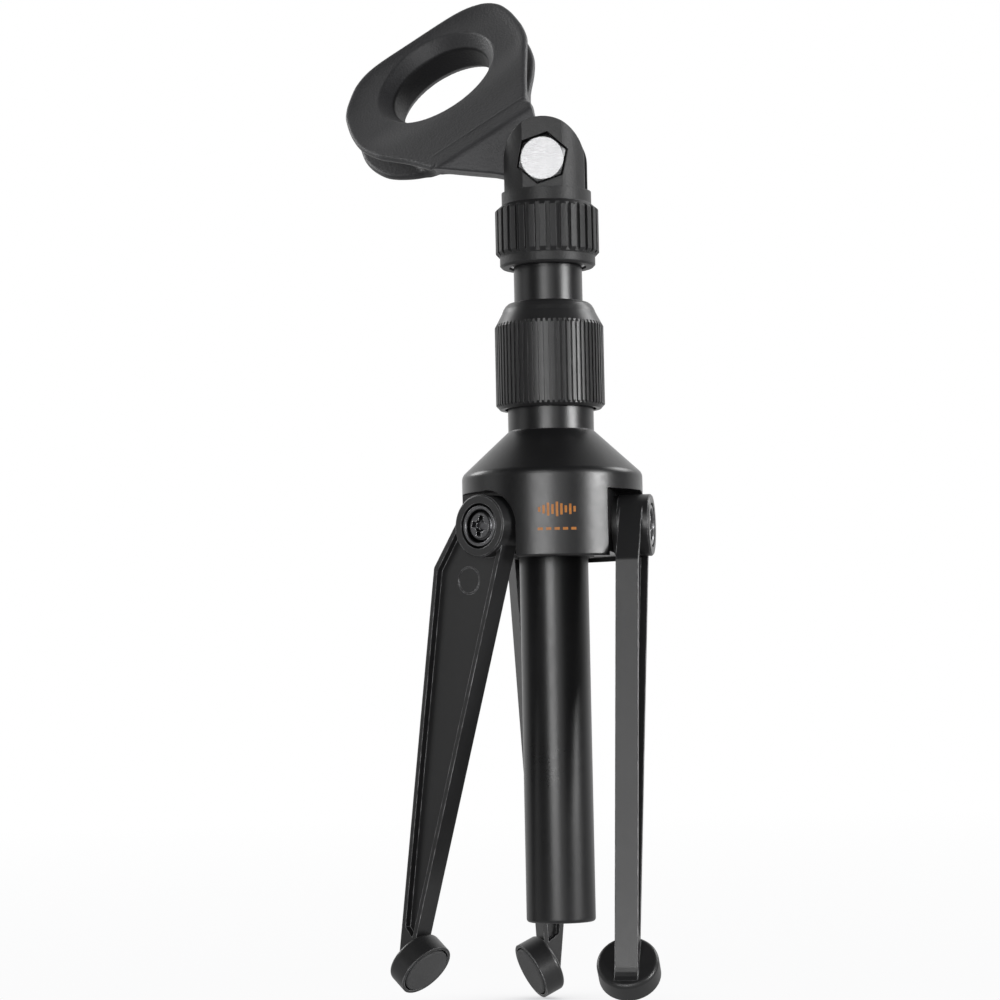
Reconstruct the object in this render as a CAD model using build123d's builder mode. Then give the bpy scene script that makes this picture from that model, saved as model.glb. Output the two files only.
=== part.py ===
from build123d import *
import os
from math import sin, cos, radians

# Desktop microphone stand: a folding tripod hub, a sliding tube clamped by a
# knurled knob, and a tilting fork that carries a microphone clip.
# Frame: +Z up, origin at the centre of the tube's lower end face; the clip
# bolt runs along Y with its head on the -Y side.  All sizes in millimetres.

os.makedirs("parts", exist_ok=True)


def save(part, name):
    part.label = name
    export_step(part, f"parts/{name}.step")


# ---------------------------------------------------------------- shared sizes
run_gap = 0.05               # between faces that turn or slide on each other
seat_gap = 0.02              # between faces that rest on each other
tube_r = 8.0
tube_bore_r = tube_r - 1.5
tube_guide_r = tube_r + run_gap      # bore of every piece that fits round the tube

hub_bottom = 83.5
hub_bore_r = 8.7
neck_r = 10.0
neck_top_z = 129.0

# name, azimuth measured from -Y toward +X, lean from the vertical toward the swing side
LEGS = [("left", -33.7, 14.9), ("right", 86.3, 17.3), ("rear", 206.3, 1.0)]
AZIMUTHS = [azimuth for _, azimuth, _ in LEGS]

# Stations are distances from the tube axis along a leg's radial direction.
pivot_z = 90.8
pivot_offset = 2.85          # pivot axis offset toward the swing side
pocket_floor = 14.9          # station of the leg pocket floors
bush_start = pocket_floor + seat_gap
bush_seat = 20.0             # station of the bush flange seat
bush_body_r = 3.95
leg_bore_r = bush_body_r + run_gap
screw_end = 9.9
screw_hole_r = 2.0


def radial(azimuth):
    return Vector(sin(radians(azimuth)), -cos(radians(azimuth)), 0)


def swing(azimuth):
    return Vector(-cos(radians(azimuth)), -sin(radians(azimuth)), 0)


def pivot_point(azimuth, station):
    offset = swing(azimuth) * pivot_offset
    return radial(azimuth) * station + offset + Vector(0, 0, pivot_z)


def pivot_plane(azimuth, station, lean=0.0):
    """x runs from the pivot down the leg, y away from the swing side, z outward."""
    angle = radians(lean)
    down_leg = swing(azimuth) * sin(angle) - Vector(0, 0, 1) * cos(angle)
    return Plane(origin=pivot_point(azimuth, station), x_dir=down_leg, z_dir=radial(azimuth))


# ---------------------------------------------------------------- hub body
hub_r = 21.0
hub_shoulder_z = 103.2
neck_base_z = 113.4
hub_rim_w = 1.3
hub_recess_depth = 1.0
bush_pocket_r = 10.2
bush_pocket_depth = 4.4
pocket_r = 8.2
pocket_up = 8.1              # reach of a leg pocket above the pivot
pocket_down = 12.0           # and below it, past the hub's lower face
pocket_side = 40.0           # and toward the swing side, where it is open

with BuildPart() as hub_body:
    with BuildSketch(Plane.XZ):
        with BuildLine():
            Polyline(
                (hub_bore_r, hub_bottom), (hub_r, hub_bottom), (hub_r, hub_shoulder_z),
                (neck_r, neck_base_z), (neck_r, neck_top_z), (hub_bore_r, neck_top_z), close=True,
            )
        make_face()
    revolve(axis=Axis.Z)
    shoulder = hub_body.edges().filter_by(GeomType.CIRCLE).group_by(Axis.Z)[-3]
    fillet(shoulder.sort_by(SortBy.RADIUS)[-1:], 2.2)
    # shallow recess inside the bottom rim
    with BuildSketch(Plane.XY.offset(hub_bottom)):
        Circle(hub_r - hub_rim_w)
        Circle(hub_bore_r, mode=Mode.SUBTRACT)
    extrude(amount=hub_recess_depth, mode=Mode.SUBTRACT)
    bottom = hub_body.edges().filter_by(GeomType.CIRCLE).group_by(Axis.Z)[0]
    fillet(bottom.sort_by(SortBy.RADIUS)[-1:], 0.5)
    # seat for the guide bush at the foot of the bore
    with BuildSketch(Plane.XY.offset(hub_bottom)):
        Circle(bush_pocket_r)
    extrude(amount=bush_pocket_depth, mode=Mode.SUBTRACT)
    # leg pockets, each with a screw hole in its floor
    for azimuth in AZIMUTHS:
        with BuildSketch(pivot_plane(azimuth, pocket_floor)):
            Circle(pocket_r)
            with Locations((pocket_down / 2, 0)):
                Rectangle(pocket_down, 2 * pocket_r)
            with BuildLine():
                Polyline(
                    (-pocket_up, 0), (-pocket_up, -pocket_side),
                    (pocket_down, -pocket_side), (pocket_down, 0), close=True,
                )
            make_face()
        extrude(amount=12.0, mode=Mode.SUBTRACT)
        with BuildSketch(pivot_plane(azimuth, screw_end - 0.3)):
            Circle(screw_hole_r)
        extrude(amount=pocket_floor - screw_end + 1.0, mode=Mode.SUBTRACT)
    # two key notches for the collet in the top of the neck
    with BuildSketch(Plane.XY.offset(neck_top_z)):
        Rectangle(30, 2.1)
    extrude(amount=-1.5, mode=Mode.SUBTRACT)
save(hub_body.part, "hub_body")

# ---------------------------------------------------------------- guide bush
guide_z0 = hub_bottom + 0.4
guide_step_z = hub_bottom + 1.2
guide_z1 = hub_bottom + bush_pocket_depth - run_gap
guide_foot_r = 9.4
guide_r = 10.17

with BuildPart() as tube_guide_bush:
    with BuildSketch(Plane.XZ):
        with BuildLine():
            Polyline(
                (tube_guide_r, guide_z0), (guide_foot_r, guide_z0), (guide_foot_r, guide_step_z),
                (guide_r, guide_step_z), (guide_r, guide_z1), (tube_guide_r, guide_z1), close=True,
            )
        make_face()
    revolve(axis=Axis.Z)
    bottom = tube_guide_bush.edges().filter_by(GeomType.CIRCLE).group_by(Axis.Z)[0]
    chamfer(bottom.sort_by(SortBy.RADIUS)[:1], 0.4)
save(tube_guide_bush.part, "tube_guide_bush")

# ---------------------------------------------------------------- pivot hardware
# Each file holds the three copies of a piece, one per leg.
washer_r = 6.9
washer_t = 1.2
bush_flange_r = 4.85
bush_face = 23.45            # station of the outer end of the bush
bush_cup_r = 3.8
bush_cup_floor = 20.9
screw_r = 1.97
screw_head_r = 3.6
screw_head_h = 2.1
cross_len, cross_w = 4.7, 1.3    # cross recess of the screws
cross_turn = 12.0
cross_core_r = 1.45

with BuildPart() as leg_friction_washers:
    for azimuth in AZIMUTHS:
        with BuildSketch(pivot_plane(azimuth, bush_start)):
            Circle(washer_r)
            Circle(leg_bore_r, mode=Mode.SUBTRACT)
        extrude(amount=washer_t)
save(leg_friction_washers.part, "leg_friction_washers")

with BuildPart() as leg_pivot_bushes:
    for azimuth in AZIMUTHS:
        with BuildSketch(pivot_plane(azimuth, bush_start)):
            Circle(bush_body_r)
        extrude(amount=bush_seat - pocket_floor)
        with BuildSketch(pivot_plane(azimuth, bush_seat)):
            Circle(bush_flange_r)
        extrude(amount=bush_face - bush_seat)
        # cup for the screw head, then the screw hole
        with BuildSketch(pivot_plane(azimuth, bush_cup_floor)):
            Circle(bush_cup_r)
        extrude(amount=5, mode=Mode.SUBTRACT)
        with BuildSketch(pivot_plane(azimuth, pocket_floor - 1)):
            Circle(screw_hole_r + 0.1)
        extrude(amount=8, mode=Mode.SUBTRACT)
    # circles on the outer end faces, picked by their distance from the tube axis
    face_distance_sq = bush_face ** 2 + pivot_offset ** 2
    rims = [
        e for e in leg_pivot_bushes.edges().filter_by(GeomType.CIRCLE)
        if abs((e.arc_center.X ** 2 + e.arc_center.Y ** 2) - face_distance_sq) < 0.5
    ]
    chamfer([e for e in rims if abs(e.radius - bush_flange_r) < 1e-3], 0.3)
    chamfer([e for e in rims if abs(e.radius - bush_cup_r) < 1e-3], 0.25)
save(leg_pivot_bushes.part, "leg_pivot_bushes")

with BuildPart() as leg_pivot_screws:
    for azimuth in AZIMUTHS:
        with BuildSketch(pivot_plane(azimuth, screw_end)):
            Circle(screw_r)
        extrude(amount=bush_cup_floor + 0.5 - screw_end)
        with BuildSketch(pivot_plane(azimuth, bush_cup_floor + seat_gap)):
            Circle(screw_head_r)
        extrude(amount=screw_head_h)
    # round the outer edges of the heads
    heads = [
        e for e in leg_pivot_screws.edges().filter_by(GeomType.CIRCLE)
        if abs(e.radius - screw_head_r) < 1e-3
        and e.arc_center.X ** 2 + e.arc_center.Y ** 2 > (bush_cup_floor + 1.5) ** 2
    ]
    fillet(heads, 0.9)
    for azimuth in AZIMUTHS:
        with BuildSketch(pivot_plane(azimuth, bush_cup_floor + 0.7, cross_turn)):
            Rectangle(cross_len, cross_w)
            Rectangle(cross_w, cross_len)
            Circle(cross_core_r)
        extrude(amount=4, taper=-4, mode=Mode.SUBTRACT)
save(leg_pivot_screws.part, "leg_pivot_screws")

# ---------------------------------------------------------------- legs and foot pads
leg_in = 16.85               # stations of the leg's inner and outer faces
leg_t = 5.15
leg_out = leg_in + leg_t
boss_in = 16.17              # stations of the pivot boss's end faces
boss_face = 23.6
boss_r = 7.15
boss_chamfer = 0.35
counterbore_r = 5.2
web_recess = 1.7
rim_w = 1.1
pin_mark_at = (13.2, -2.6)   # ring left by the ejector pin
pin_mark_r = 3.2
pin_mark_w = 0.3
pin_mark_depth = 0.18

cup_angle = radians(66.0)    # cup axis measured from the leg axis
cup_down = 101.5             # cup centre down the leg
cup_away = 0.25              # and away from the swing side
cup_r = 6.9
cup_t = 5.2
cup_round = 1.0
cavity_r = 6.15
cavity_depth = 2.2
pad_r = 5.75
pad_t = 2.6

# leg outlines: distance down the leg from the pivot, distance away from the swing side
leg_outline = [
    (0.3, 6.61), (97.5, 2.33), (104.0, 3.0), (107.1, -0.9),
    (106.3, -1.9), (105.3, -1.58), (104.3, -1.43), (103.35, -1.45),
    (12.4, -12.19), (-2.42, -6.72), (0, 0),
]
recess_outline = [
    (-1.0, 6.65 - rim_w), (96.8, 2.36 - rim_w), (95.0, -2.44 + rim_w),
    (12.9, -12.13 + rim_w), (-1.0, -7.17 + rim_w),
]


def cup_frame(azimuth, lean):
    """Centre of the cup's back face, and its axis toward the open side."""
    leg_plane = pivot_plane(azimuth, leg_in + leg_t / 2, lean)
    origin = leg_plane.origin + leg_plane.x_dir * cup_down + leg_plane.y_dir * cup_away
    axis = leg_plane.x_dir * cos(cup_angle) + leg_plane.y_dir * sin(cup_angle)
    return origin, axis


def cup_floor_plane(azimuth, lean):
    origin, axis = cup_frame(azimuth, lean)
    return Plane(
        origin=origin + axis * (cup_t - cavity_depth), x_dir=radial(azimuth), z_dir=axis,
    )


def make_leg(azimuth, lean):
    out = radial(azimuth)
    cup_origin, cup_axis = cup_frame(azimuth, lean)
    with BuildPart() as leg:
        # root circle, shoulder, then a long taper to the foot
        with BuildSketch(pivot_plane(azimuth, leg_in, lean)) as outline:
            with BuildLine():
                Polyline(*leg_outline, close=True)
            make_face()
            fillet(outline.vertices().filter_by_position(Axis.X, 12.3, 12.5), 1.6)
            Circle(boss_r)
        extrude(amount=leg_t)
        # recesses on both broad faces leave a rim all round
        for station, depth in ((leg_out, -web_recess), (leg_in, web_recess)):
            with BuildSketch(pivot_plane(azimuth, station, lean)):
                with BuildLine():
                    Polyline(*recess_outline, close=True)
                make_face()
                Circle(boss_r, mode=Mode.SUBTRACT)
            extrude(amount=depth, mode=Mode.SUBTRACT)
        with BuildSketch(pivot_plane(azimuth, leg_out - web_recess, lean)):
            with Locations(pin_mark_at):
                Circle(pin_mark_r)
                Circle(pin_mark_r - pin_mark_w, mode=Mode.SUBTRACT)
        extrude(amount=-pin_mark_depth, mode=Mode.SUBTRACT)
        # raised pivot boss with a chamfered outer end
        with BuildSketch(pivot_plane(azimuth, boss_in, lean)):
            Circle(boss_r)
        extrude(amount=boss_face - boss_chamfer - boss_in)
        with BuildSketch(pivot_plane(azimuth, boss_face - boss_chamfer, lean)):
            Circle(boss_r)
        extrude(amount=boss_chamfer, taper=45)
        # bush bore and counterbore
        with BuildSketch(pivot_plane(azimuth, boss_in - 1, lean)):
            Circle(leg_bore_r)
        extrude(amount=10, mode=Mode.SUBTRACT)
        with BuildSketch(pivot_plane(azimuth, bush_seat - run_gap, lean)):
            Circle(counterbore_r)
        extrude(amount=6, mode=Mode.SUBTRACT)
        # foot cup with a rounded back edge
        with BuildSketch(Plane(origin=cup_origin, x_dir=out, z_dir=out.cross(cup_axis))):
            with BuildLine():
                Polyline(
                    (cup_r - cup_round, 0), (0, 0), (0, cup_t), (cup_r, cup_t), (cup_r, cup_round),
                )
                RadiusArc((cup_r, cup_round), (cup_r - cup_round, 0), cup_round)
            make_face()
        revolve(axis=Axis(cup_origin, cup_axis))
        with BuildSketch(cup_floor_plane(azimuth, lean)):
            Circle(cavity_r)
        extrude(amount=6, mode=Mode.SUBTRACT)
    return leg.part


def make_foot_pad(azimuth, lean):
    floor = cup_floor_plane(azimuth, lean)
    with BuildPart() as pad:
        with BuildSketch(floor.offset(0.01)):
            Circle(pad_r)
        extrude(amount=pad_t)
        # round the edge away from the cup floor
        fillet([e for e in pad.edges().filter_by(GeomType.CIRCLE)
                if (e.arc_center - floor.origin).length > 1.0], 0.35)
    return pad.part


for side, azimuth, lean in LEGS:
    save(make_leg(azimuth, lean), "leg_" + side)
    save(make_foot_pad(azimuth, lean), "foot_pad_" + side)

# ---------------------------------------------------------------- clamp collet
collet_base_z = neck_top_z + run_gap
collet_top_z = 139.4
collet_flange_r = 9.5
collet_slit = 0.8
slit_base_h = 2.2            # height of the unslit base
ring_z0, ring_z1 = 134.0, 139.9
ring_r = 10.6
cone_r0, cone_r1 = 9.55, 8.75    # outer radius of the collet cone, bottom and top
cone_z0 = ring_z0 - 0.2

with BuildPart() as clamp_collet:
    with BuildSketch(Plane.XZ):
        with BuildLine():
            Polyline(
                (tube_guide_r, collet_base_z), (collet_flange_r, collet_base_z),
                (collet_flange_r, ring_z0 - 1.0), (cone_r0, cone_z0),
                (cone_r1, collet_top_z), (tube_guide_r, collet_top_z), close=True,
            )
        make_face()
    revolve(axis=Axis.Z)
    # crossed slits, open at the top
    with BuildSketch(Plane.XY.offset(collet_base_z + slit_base_h)):
        Rectangle(30, collet_slit)
        Rectangle(collet_slit, 30)
    extrude(amount=20, mode=Mode.SUBTRACT)
    # anti-rotation keys that drop into the neck
    with BuildSketch(Plane.XY.offset(collet_base_z + 0.2)):
        Rectangle(2 * 9.4, 2.0)
        Circle(hub_bore_r + 0.05, mode=Mode.SUBTRACT)
    extrude(amount=-1.6)
save(clamp_collet.part, "clamp_collet")

# ---------------------------------------------------------------- cone ring
cone_slope = (cone_r0 - cone_r1) / (collet_top_z - cone_z0)
ring_bore_r0 = cone_r0 + 0.08

with BuildPart() as clamp_cone_ring:
    with BuildSketch(Plane.XZ):
        with BuildLine():
            Polyline(
                (ring_bore_r0, ring_z0), (ring_r, ring_z0), (ring_r, ring_z1),
                (ring_bore_r0 - cone_slope * (ring_z1 - ring_z0), ring_z1), close=True,
            )
        make_face()
    revolve(axis=Axis.Z)
save(clamp_cone_ring.part, "clamp_cone_ring")

# ---------------------------------------------------------------- clamp knob
knob_z0, knob_z1 = 118.6, 143.5
knob_r = 12.7
knob_knurl_top = 137.8
knob_grooves = 64
knob_groove_depth = 0.42
knob_groove_w = 0.62
knob_mouth_r = 10.7
knob_top_bore_r = 8.6
neck_bore_r = neck_r + run_gap
ring_pocket_r = ring_r + run_gap
ring_pocket_top = ring_z1 + run_gap

with BuildPart() as clamp_knob:
    with BuildSketch(Plane.XY.offset(knob_z0)):
        Circle(knob_r)
        with PolarLocations(knob_r + 0.02, knob_grooves):
            Rectangle(2 * knob_groove_depth, knob_groove_w, mode=Mode.SUBTRACT)
    extrude(amount=knob_z1 - knob_z0)
    # outer profile: chamfered foot and rounded crown
    with BuildSketch(Plane.XZ):
        with BuildLine():
            Polyline(
                (0, knob_z0), (knob_r - 0.9, knob_z0), (knob_r, knob_z0 + 1.0),
                (knob_r, knob_knurl_top), (11.0, 141.0), (10.6, 142.0), (10.1, 142.8),
                (9.5, 143.3), (8.9, knob_z1), (0, knob_z1), close=True,
            )
        make_face()
    revolve(axis=Axis.Z, mode=Mode.INTERSECT)
    # bore: mouth, neck bore, ring pocket and tube clearance hole
    with BuildSketch(Plane.XZ):
        with BuildLine():
            Polyline(
                (0, knob_z0 - 1), (knob_mouth_r, knob_z0 - 1), (knob_mouth_r, knob_z0 + 1.6),
                (neck_bore_r, knob_z0 + 2.3), (neck_bore_r, neck_top_z + 2.2),
                (ring_pocket_r, neck_top_z + 2.9), (ring_pocket_r, ring_pocket_top),
                (knob_top_bore_r, ring_pocket_top), (knob_top_bore_r, knob_z1 + 1),
                (0, knob_z1 + 1), close=True,
            )
        make_face()
    revolve(axis=Axis.Z, mode=Mode.SUBTRACT)
save(clamp_knob.part, "clamp_knob")

# ---------------------------------------------------------------- tube and end plug
tube_len = 164.4
tube_thread_z = tube_len - 13.0      # the upper end carries the 5/8 inch thread
tube_thread_r = 7.95
plug_r = 6.46
plug_bore_r = 5.2
plug_h = 12.0
plug_floor = 2.0

with BuildPart() as sliding_tube:
    with BuildSketch(Plane.XZ):
        with BuildLine():
            Polyline(
                (tube_bore_r, 0), (tube_r, 0), (tube_r, tube_thread_z),
                (tube_thread_r, tube_thread_z), (tube_thread_r, tube_len),
                (tube_bore_r, tube_len), close=True,
            )
        make_face()
    revolve(axis=Axis.Z)
    bottom = sliding_tube.edges().filter_by(GeomType.CIRCLE).group_by(Axis.Z)[0]
    fillet(bottom.sort_by(SortBy.RADIUS)[-1:], 0.8)
    top = sliding_tube.edges().filter_by(GeomType.CIRCLE).group_by(Axis.Z)[-1]
    chamfer(top.sort_by(SortBy.RADIUS)[-1:], 0.6)
save(sliding_tube.part, "sliding_tube")

with BuildPart() as tube_end_plug:
    with BuildSketch(Plane.XZ):
        with BuildLine():
            Polyline(
                (0, 0), (6.0, 0), (plug_r, 0.5), (plug_r, plug_h),
                (plug_bore_r, plug_h), (plug_bore_r, plug_floor), (0, plug_floor), close=True,
            )
        make_face()
    revolve(axis=Axis.Z)
save(tube_end_plug.part, "tube_end_plug")

# ---------------------------------------------------------------- clip fork
collar_z0 = 151.9
band_r = 11.15               # plain band below the knurl
knurl_z0, knurl_z1 = 155.2, 166.4
knurl_r = 12.1
knurl_root_r = 11.3
collar_grooves = 30
collar_groove_depth = 0.75
collar_groove_w = 1.05
collar_ring_r = 10.5         # plain ring above the knurl
collar_ring_z = 169.5
ear_half = 9.4
ear_top = 186.1
ear_base_z = collar_ring_z - 1.0
slot_half = 3.8
insert_r = 9.0
insert_z0, insert_z1 = 152.3, 165.0

bolt_z = 176.3
bolt_r = 2.95
bolt_hole_r = bolt_r + 0.1
bolt_af = 10.0               # across the flats of the head and the nut
hex_pocket_af = 10.9
hex_turn = 18.0
nut_seat_y = 5.9
head_seat_y = -nut_seat_y

# arch-shaped ears: rounded by the collar cylinder, flat on their two outer faces
with BuildPart() as fork_ears:
    with BuildSketch(Plane.XZ.offset(-ear_half)):
        with Locations((0, ear_base_z)):
            Rectangle(
                2 * ear_half, ear_top - ear_half - ear_base_z, align=(Align.CENTER, Align.MIN),
            )
        with Locations((0, ear_top - ear_half)):
            Circle(ear_half)
    extrude(amount=2 * ear_half)
    with BuildSketch(Plane.XY.offset(ear_base_z)):
        Circle(collar_ring_r - 0.02)
    extrude(amount=30, mode=Mode.INTERSECT)

with BuildPart() as clip_fork:
    # grooved cylinder, trimmed to the collar's outer profile
    with BuildSketch(Plane.XY.offset(collar_z0)):
        Circle(knurl_r)
        with PolarLocations(knurl_r + 0.1, collar_grooves):
            Rectangle(2 * collar_groove_depth + 0.2, collar_groove_w, mode=Mode.SUBTRACT)
    extrude(amount=collar_ring_z - collar_z0)
    with BuildSketch(Plane.XZ):
        with BuildLine():
            Polyline(
                (0, collar_z0), (band_r - 0.5, collar_z0), (band_r, collar_z0 + 0.5),
                (band_r, knurl_z0 - 0.9), (knurl_r, knurl_z0 + 0.1), (knurl_r, knurl_z1 - 1.2),
                (collar_ring_r, knurl_z1 + 0.2), (collar_ring_r, collar_ring_z),
                (0, collar_ring_z), close=True,
            )
        make_face()
    revolve(axis=Axis.Z, mode=Mode.INTERSECT)
    # core that fills the grooves above and below the knurl
    with BuildSketch(Plane.XZ):
        with BuildLine():
            Polyline(
                (0, collar_z0), (band_r - 0.5, collar_z0), (band_r, collar_z0 + 0.5),
                (band_r, knurl_z0), (knurl_root_r, knurl_z0), (knurl_root_r, knurl_z1 - 0.6),
                (collar_ring_r, knurl_z1 + 0.2), (collar_ring_r, collar_ring_z - 0.6),
                (collar_ring_r - 0.6, collar_ring_z), (0, collar_ring_z), close=True,
            )
        make_face()
    revolve(axis=Axis.Z)
    add(fork_ears.part)
    # slot for the tongue of the clip
    with BuildSketch(Plane.XZ.offset(-slot_half)):
        with Locations((0, collar_ring_z + 15)):
            Rectangle(40, 30)
    extrude(amount=2 * slot_half, mode=Mode.SUBTRACT)
    # bolt hole and the two hexagonal pockets
    with BuildSketch(Plane.XZ.offset(-20)):
        with Locations((0, bolt_z)):
            Circle(bolt_hole_r)
    extrude(amount=40, mode=Mode.SUBTRACT)
    for seat_y, depth in ((head_seat_y, 8), (nut_seat_y, -8)):
        with BuildSketch(Plane.XZ.offset(-seat_y)):
            with Locations((0, bolt_z)):
                RegularPolygon(hex_pocket_af / 2, 6, major_radius=False, rotation=hex_turn)
        extrude(amount=depth, mode=Mode.SUBTRACT)
    # bore for the thread insert
    with BuildSketch(Plane.XY.offset(collar_z0)):
        Circle(insert_r + seat_gap)
    extrude(amount=insert_z1 + 0.1 - collar_z0, mode=Mode.SUBTRACT)
save(clip_fork.part, "clip_fork")

with BuildPart() as thread_insert:
    with BuildSketch(Plane.XY.offset(insert_z0)):
        Circle(insert_r)
        Circle(tube_guide_r, mode=Mode.SUBTRACT)
    extrude(amount=insert_z1 - insert_z0)
    chamfer(thread_insert.edges().filter_by(GeomType.CIRCLE).group_by(Axis.Z)[0], 0.25)
save(thread_insert.part, "thread_insert")

# ---------------------------------------------------------------- clip bolt, washer, nut
bolt_head_h = 3.4
shank_len = 16.0
clip_washer_r = 5.2
clip_washer_t = 0.6
nut_z0 = nut_seat_y + 0.65   # Y stations of the nut's faces
nut_h = 2.6


def chamfer_envelope(start_y, end_y):
    """Turned blank on the bolt axis, coned at end_y; it trims the corners of a hexagon."""
    cone_len = 2.3 if start_y > end_y else -2.3
    with BuildPart() as envelope:
        with BuildSketch(Plane.XY):
            with BuildLine():
                Polyline(
                    (0, start_y), (9, start_y), (9, end_y + cone_len),
                    (4.95, end_y), (0, end_y), close=True,
                )
            make_face()
        revolve(axis=Axis.Y)
    envelope.part.position = (0, 0, bolt_z)
    return envelope.part


head_envelope = chamfer_envelope(head_seat_y + 1, head_seat_y - bolt_head_h)
nut_envelope = chamfer_envelope(nut_seat_y, nut_z0 + nut_h)

with BuildPart() as clip_bolt:
    with BuildSketch(Plane.XZ.offset(-(head_seat_y - seat_gap))):
        with Locations((0, bolt_z)):
            RegularPolygon(bolt_af / 2, 6, major_radius=False, rotation=hex_turn)
    extrude(amount=bolt_head_h)
    add(head_envelope, mode=Mode.INTERSECT)
    # the shank starts inside the head
    with BuildSketch(Plane.XZ.offset(-head_seat_y + 1)):
        with Locations((0, bolt_z)):
            Circle(bolt_r)
    extrude(amount=-shank_len)
save(clip_bolt.part, "clip_bolt")

with BuildPart() as clip_washer:
    with BuildSketch(Plane.XZ.offset(-(nut_seat_y + seat_gap))):
        with Locations((0, bolt_z)):
            Circle(clip_washer_r)
            Circle(bolt_hole_r, mode=Mode.SUBTRACT)
    extrude(amount=-clip_washer_t)
save(clip_washer.part, "clip_washer")

with BuildPart() as clip_nut:
    with BuildSketch(Plane.XZ.offset(-nut_z0)):
        with Locations((0, bolt_z)):
            RegularPolygon(bolt_af / 2, 6, major_radius=False, rotation=hex_turn)
            Circle(bolt_r + 0.03, mode=Mode.SUBTRACT)
    extrude(amount=-nut_h)
    add(nut_envelope, mode=Mode.INTERSECT)
save(clip_nut.part, "clip_nut")

# ---------------------------------------------------------------- microphone clip
tongue_half = 3.65
tongue_hole_r = 3.02
tongue_end_r = 6.2
clip_centre = Vector(-28.75, 21.7, 203.45)                  # centre of the ring's front face
clip_axis = Vector(-0.368, -0.7071, 0.604).normalized()     # out of the front face
clip_across = clip_axis.cross(Vector(0, -1, 0)).normalized()
# x, z of the ends of the tongue's root line
root_x0, root_z0 = -25.6, 175.6
root_x1, root_z1 = -3.1, 190.9
root_slope = (root_z1 - root_z0) / (root_x1 - root_x0)
root_cut_lift = 0.5          # the ring ends this far above the root line
clip_depth = 11.2
flange_t = 1.9
web_depth = 6.2              # thickness of the web behind the front face
clip_bore_r = 13.0
lip_r = 15.4
rear_mouth_r = clip_bore_r + 1.4
barrel_r = 16.2
web_bottom = -36.4

# Outlines in the plane of the ring, x across and y away from the fork.
# The flange outlines run from lower left over the top to lower right.
front_outline = [
    (-11.8, -36.1), (-14.1, -31.0), (-17.0, -25.3), (-20.6, -19.4), (-22.4, -16.1),
    (-24.6, -9.7), (-25.1, -2.7), (-24.4, 4.5), (-23.4, 8.1), (-21.3, 11.9),
    (-17.3, 16.7), (-11.4, 19.3), (0, 19.6), (12.6, 19.3), (19.1, 16.8),
    (22.6, 12.5), (24.0, 7.0), (24.4, 0.7), (24.3, -3.4), (23.7, -7.5),
    (22.6, -10.7), (21.1, -14.5), (18.0, -22.6), (16.0, -28.2), (13.0, -36.1),
]
rear_outline = [
    (-8.0, -24.6), (-11.6, -22.1), (-16.3, -19.1), (-20.0, -15.5), (-22.8, -11.7),
    (-24.4, -7.7), (-25.4, -3.3), (-25.6, 1.4), (-24.6, 8.1), (-21.8, 13.2),
    (-17.3, 17.1), (-11.4, 19.3), (0, 19.6), (11.0, 19.3), (17.0, 17.0),
    (21.2, 12.9), (23.2, 8.4), (23.6, 4.4), (23.1, -0.5), (22.2, -4.2),
    (20.4, -8.5), (18.3, -12.4), (16.5, -15.7), (13.0, -21.0), (8.0, -24.6),
]
web_outline = [
    (-14.6, -4.0), (-15.9, -23.0), (-11.6, web_bottom), (12.3, web_bottom),
    (13.6, -28.3), (16.0, -23.0), (14.6, -4.0),
]
web_back_outline = [
    (-13.8, -5.6), (-15.2, -19.0), (-10.0, -23.8), (9.0, -23.8), (15.2, -18.0), (13.8, -5.6),
]
# flared mouths of the bore: radius, distance in front of the front face
front_mouth = [
    (10, 2), (lip_r + 0.8, 2), (lip_r, 0.0), (lip_r - 1.2, -0.7), (clip_bore_r, -2.4), (10, -2.4),
]
rear_mouth = [
    (10, -clip_depth + 1.9), (clip_bore_r, -clip_depth + 1.9), (rear_mouth_r, -clip_depth),
    (rear_mouth_r, -clip_depth - 2), (10, -clip_depth - 2),
]
front = Plane(origin=clip_centre, x_dir=clip_across, z_dir=clip_axis)
rear = front.offset(-clip_depth)

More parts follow.
